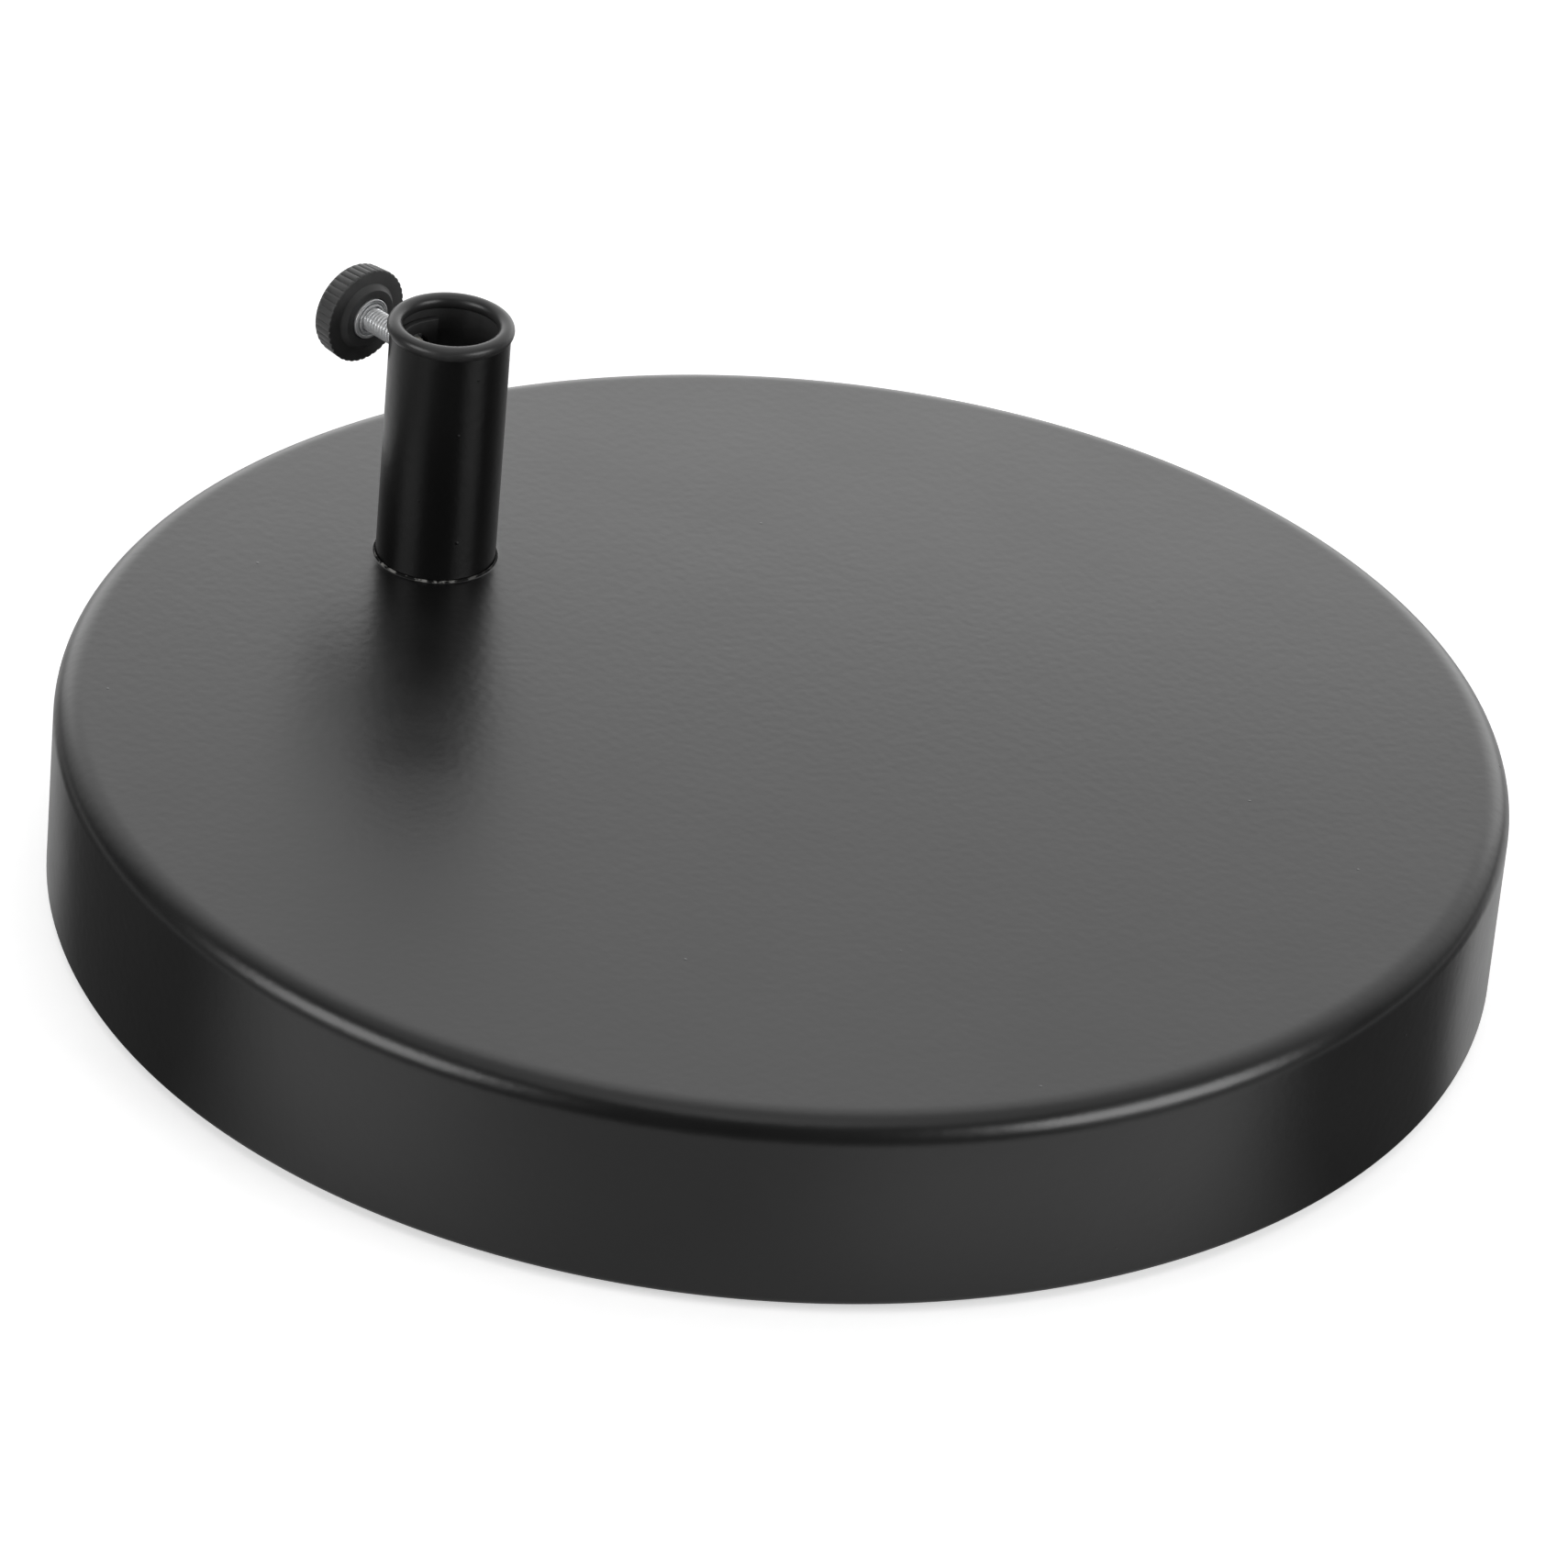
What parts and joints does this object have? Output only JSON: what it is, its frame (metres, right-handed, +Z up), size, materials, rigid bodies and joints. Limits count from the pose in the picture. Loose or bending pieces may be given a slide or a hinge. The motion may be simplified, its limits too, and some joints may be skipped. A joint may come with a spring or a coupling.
{
  "type": "parasol base",
  "caption": "Round weighted parasol base: a steel-covered concrete disc on rubber feet, with an off-centre pole socket tube and a knurled clamp screw.",
  "frame": {"origin": "bottom centre of the base, on the ground under its rubber feet", "axes": "+Z up along the pole; +Y from the base's centre to the pole socket; +X to the right when the socket is at the back"},
  "size_m": [0.45, 0.45, 0.15],
  "materials": {
    "powder_coat": "satin black powder coat with a fine texture",
    "concrete": "cast concrete",
    "zinc_sheet": "galvanised sheet steel",
    "zinc_bolt": "zinc-plated fasteners",
    "zinc_stud": "bright zinc-plated steel",
    "ring_plastic": "black moulded plastic, satin",
    "stop_plastic": "black moulded plastic, matt",
    "knob_plastic": "black moulded plastic with a ribbed grip",
    "nylon": "natural nylon",
    "rubber": "black rubber"
  },
  "bodies": {
    "base": {"steel_cover": "powder_coat", "concrete_core": "concrete", "bottom_plate": "zinc_sheet", "socket_tube": "powder_coat", "mouth_ring": "ring_plastic", "tube_flange": "powder_coat", "pole_stop": "stop_plastic", "clamp_nut": "powder_coat", "flange_bolt_1": "zinc_bolt", "flange_bolt_2": "zinc_bolt", "flange_bolt_3": "zinc_bolt", "flange_bolt_4": "zinc_bolt", "flange_washer_1": "zinc_bolt", "flange_washer_2": "zinc_bolt", "flange_washer_3": "zinc_bolt", "flange_washer_4": "zinc_bolt", "flange_anchor_1": "zinc_bolt", "flange_anchor_2": "zinc_bolt", "flange_anchor_3": "zinc_bolt", "flange_anchor_4": "zinc_bolt", "foot_1": "rubber", "foot_2": "rubber", "foot_3": "rubber", "foot_4": "rubber", "foot_5": "rubber", "foot_6": "rubber"},
    "tip": {"clamp_tip": "nylon"},
    "screw": {"clamp_stud": "zinc_stud", "knob_insert": "zinc_stud", "clamp_knob": "knob_plastic"}
  },
  "joints": [
    {"name": "clamp_slide", "type": "slide", "parent": "base", "child": "tip", "axis": [0.134, 0.991, 0], "range_m": [-0.0163, 0.0013]},
    {"name": "clamp_turn", "type": "hinge", "parent": "tip", "child": "screw", "pos_m": [0, 0.142, 0.1341], "axis": [0.134, 0.991, 0], "range_deg": [-4680, 360]}
  ],
  "couplings": [
    {"joint": "clamp_slide", "follows": "clamp_turn", "m_per_rad": 0.00019894}
  ]
}
